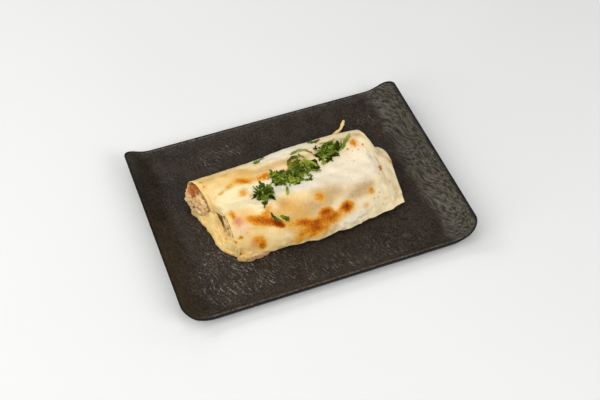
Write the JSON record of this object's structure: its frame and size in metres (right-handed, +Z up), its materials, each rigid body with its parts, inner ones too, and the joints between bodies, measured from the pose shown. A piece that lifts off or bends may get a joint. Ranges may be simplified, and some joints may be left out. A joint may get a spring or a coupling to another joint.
{
  "type": "baked cannelloni on a plate",
  "caption": "Baked cannelloni with meat filling under browned melted cheese and chopped parsley, on a rectangular slate-look plate with upswept short ends.",
  "frame": {"origin": "on the table under the middle of the plate", "axes": "+X along the plate's long sides and the pasta rolls, towards the rolls' flattened end; +Y towards the back; +Z up"},
  "size_m": [0.24, 0.176, 0.0399],
  "materials": {
    "plate_melamine": "satin",
    "baked_pasta": "satin",
    "meat_filling": "matte",
    "melted_cheese": "satin",
    "parsley_leaf": "matte"
  },
  "bodies": {
    "root": {"plate": "plate_melamine", "back_roll_pasta": "baked_pasta", "back_roll_filling": "meat_filling", "front_roll_pasta": "baked_pasta", "front_roll_filling": "meat_filling", "cheese_blanket": "melted_cheese", "cheese_ooze": "melted_cheese", "cheese_drip": "melted_cheese", "cheese_strand": "melted_cheese", "parsley_heap_1": "parsley_leaf", "parsley_heap_2": "parsley_leaf", "parsley_heap_3": "parsley_leaf", "parsley_heap_4": "parsley_leaf", "parsley_blade": "parsley_leaf", "parsley_back_left": "parsley_leaf", "parsley_back_right": "parsley_leaf", "parsley_chip_left": "parsley_leaf", "parsley_chip_right": "parsley_leaf"}
  },
  "joints": []
}
